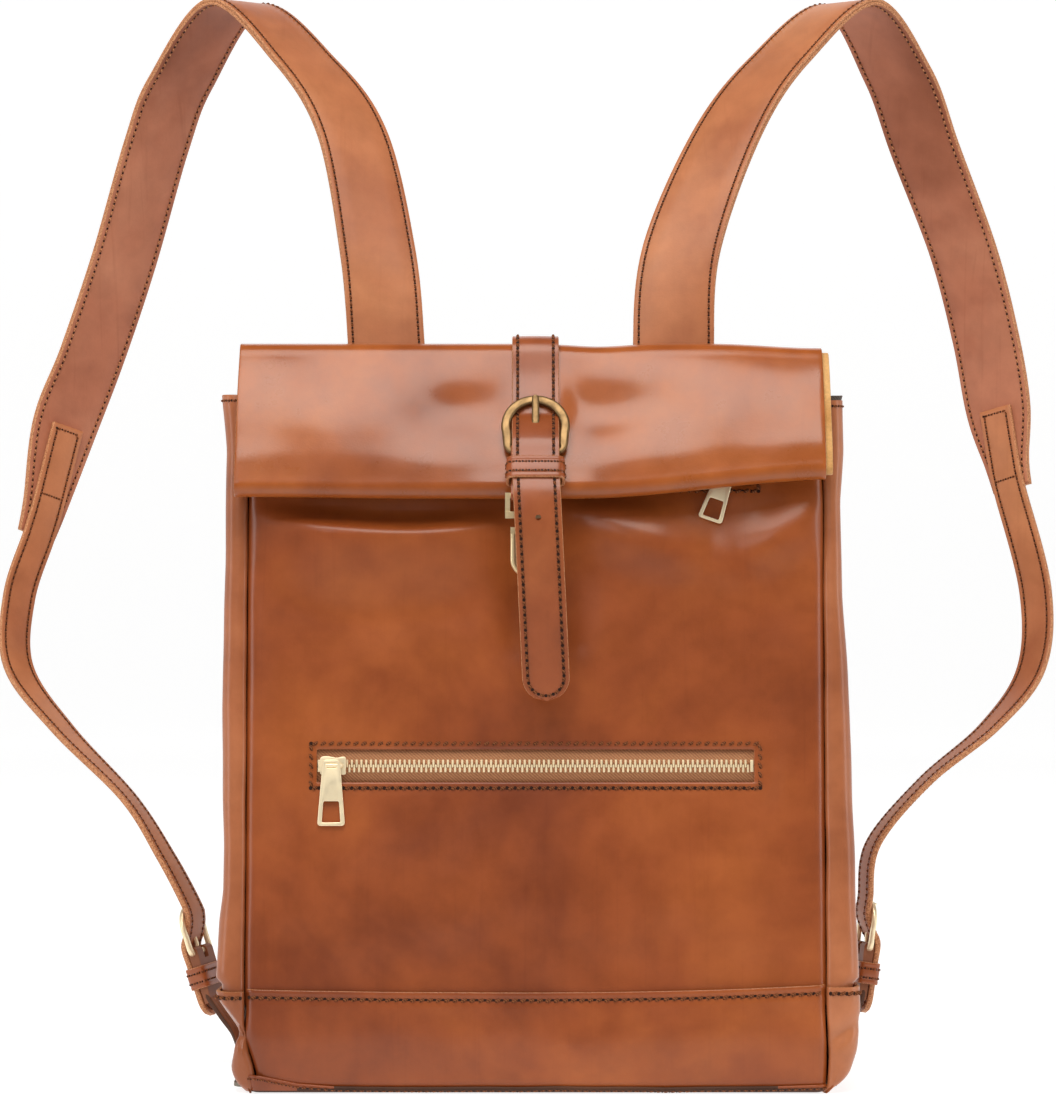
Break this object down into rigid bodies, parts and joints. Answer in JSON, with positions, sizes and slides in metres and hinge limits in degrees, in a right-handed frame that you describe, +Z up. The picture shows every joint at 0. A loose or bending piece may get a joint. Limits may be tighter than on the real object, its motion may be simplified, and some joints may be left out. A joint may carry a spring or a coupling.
{
  "type": "leather roll-top backpack",
  "caption": "Leather roll-top backpack with a buckled closing strap, zipped front pockets and two adjustable shoulder straps.",
  "frame": {"origin": "centre of the flat underside, on the ground", "axes": "+Z up, -Y towards the front with the closing buckle, +X to the right seen from the front"},
  "size_m": [0.599, 0.2423, 0.5942],
  "materials": {
    "shell_leather": "glossy waxed, mottled",
    "strap_leather": "satin",
    "strap_lining": "satin",
    "flesh_side": "matt suede",
    "antique_brass": "aged satin",
    "pale_brass": "polished",
    "zip_tape": "woven twill",
    "lining_cloth": "woven",
    "base_board": "pressed fibreboard"
  },
  "bodies": {
    "bag": {"front_panel": "shell_leather", "back_panel": "shell_leather", "gusset_left": "shell_leather", "gusset_right": "shell_leather", "bottom_panel": "shell_leather", "base_band_front": "shell_leather", "base_band_back": "shell_leather", "base_band_left": "shell_leather", "base_band_right": "shell_leather", "base_board": "base_board", "main_lining": "lining_cloth", "front_pocket_bag": "lining_cloth", "upper_pocket_bag": "lining_cloth", "front_zip_tape": "zip_tape", "front_zip_teeth": "pale_brass", "front_zip_stops": "pale_brass", "upper_zip_tape": "zip_tape", "upper_zip_teeth": "pale_brass", "upper_zip_stops": "pale_brass", "closing_strap_back": "strap_leather", "ring_tab": "strap_leather", "strap_patch": "strap_leather", "strap_root_left": "strap_leather", "strap_root_right": "strap_leather", "tab_root_left": "strap_leather", "tab_root_right": "strap_leather"},
    "roll_top": {"roll_outer": "shell_leather", "roll_inner": "flesh_side"},
    "closing_strap": {"closing_strap": "strap_leather", "closing_keeper": "strap_leather", "closing_chape": "strap_leather", "closing_buckle_frame": "antique_brass"},
    "closing_prong": {"closing_buckle_prong": "antique_brass"},
    "hook_eye": {"snap_hook_eye": "antique_brass"},
    "hook_body": {"snap_hook_body": "antique_brass"},
    "hook_gate": {"snap_hook_gate": "antique_brass"},
    "d_ring": {"front_d_ring": "antique_brass"},
    "front_slider": {"front_zip_slider": "pale_brass"},
    "front_pull": {"front_zip_pull": "pale_brass"},
    "upper_slider": {"upper_zip_slider": "pale_brass"},
    "upper_pull": {"upper_zip_pull": "pale_brass"},
    "left_strap": {"shoulder_strap_left": "strap_leather", "shoulder_lining_left": "strap_lining", "adjuster_strap_left": "strap_leather", "lower_tab_left": "strap_leather", "shoulder_buckle_left": "pale_brass", "shoulder_keeper_left": "strap_leather"},
    "left_prong": {"shoulder_prong_left": "pale_brass"},
    "right_strap": {"shoulder_strap_right": "strap_leather", "shoulder_lining_right": "strap_lining", "adjuster_strap_right": "strap_leather", "lower_tab_right": "strap_leather", "shoulder_buckle_right": "pale_brass", "shoulder_keeper_right": "strap_leather"},
    "right_prong": {"shoulder_prong_right": "pale_brass"}
  },
  "joints": [
    {"name": "roll_top_open", "type": "hinge", "parent": "bag", "child": "roll_top", "pos_m": [0, 0, 0.382], "axis": [-1, 0, 0], "range_deg": [0, 150]},
    {"name": "closing_strap_lift", "type": "hinge", "parent": "roll_top", "child": "closing_strap", "pos_m": [0, 0, 0.382], "axis": [-1, 0, 0], "range_deg": [0, 100]},
    {"name": "closing_prong_turn", "type": "hinge", "parent": "closing_strap", "child": "closing_prong", "pos_m": [0, -0.03982, 0.33724], "axis": [1, 0, 0], "range_deg": [0, 12]},
    {"name": "hook_swing", "type": "hinge", "parent": "closing_strap", "child": "hook_eye", "pos_m": [0, -0.0515, 0.3135], "axis": [1, 0, 0], "range_deg": [0, 18]},
    {"name": "hook_swivel", "type": "hinge", "parent": "hook_eye", "child": "hook_body", "pos_m": [-0.004, -0.0515, 0.303], "axis": [0, 0, 1], "range_deg": [-14, 14]},
    {"name": "hook_gate_open", "type": "hinge", "parent": "hook_body", "child": "hook_gate", "pos_m": [0.0036, -0.0515, 0.2923], "axis": [0, 1, 0], "range_deg": [0, 25], "stiffness_Nm_per_rad": 0.05},
    {"name": "d_ring_turn", "type": "hinge", "parent": "bag", "child": "d_ring", "pos_m": [0.003, -0.0299, 0.25835], "axis": [1, 0, 0], "range_deg": [0, 150]},
    {"name": "front_zip_slide", "type": "slide", "parent": "bag", "child": "front_slider", "axis": [1, 0, 0], "range_m": [0, 0.205], "deforming": ["front_zip_teeth"]},
    {"name": "front_pull_turn", "type": "hinge", "parent": "front_slider", "child": "front_pull", "pos_m": [-0.107, -0.03889, 0.17125], "axis": [-1, 0, 0], "range_deg": [0, 160]},
    {"name": "upper_zip_slide", "type": "slide", "parent": "bag", "child": "upper_slider", "axis": [-1, 0, 0], "range_m": [0, 0.19], "deforming": ["upper_zip_teeth"]},
    {"name": "upper_pull_turn", "type": "hinge", "parent": "upper_slider", "child": "upper_pull", "pos_m": [0.1, -0.02105, 0.32825], "axis": [-1, 0, 0], "range_deg": [0, 12]},
    {"name": "left_strap_swing", "type": "hinge", "parent": "bag", "child": "left_strap", "pos_m": [-0.168, 0.067, 0.009], "axis": [-0.2363, 0.1235, -0.9638], "range_deg": [-20, 30]},
    {"name": "left_prong_turn", "type": "hinge", "parent": "left_strap", "child": "left_prong", "pos_m": [-0.1854, 0.07087, 0.06314], "axis": [-0.3594, -0.9319, -0.0489], "range_deg": [0, 10]},
    {"name": "right_strap_swing", "type": "hinge", "parent": "bag", "child": "right_strap", "pos_m": [0.174, 0.067, 0.009], "axis": [-0.2564, -0.1228, 0.9587], "range_deg": [-20, 30]},
    {"name": "right_prong_turn", "type": "hinge", "parent": "right_strap", "child": "right_prong", "pos_m": [0.18204, 0.07102, 0.06529], "axis": [-0.2303, 0.9724, -0.0366], "range_deg": [0, 10]}
  ]
}
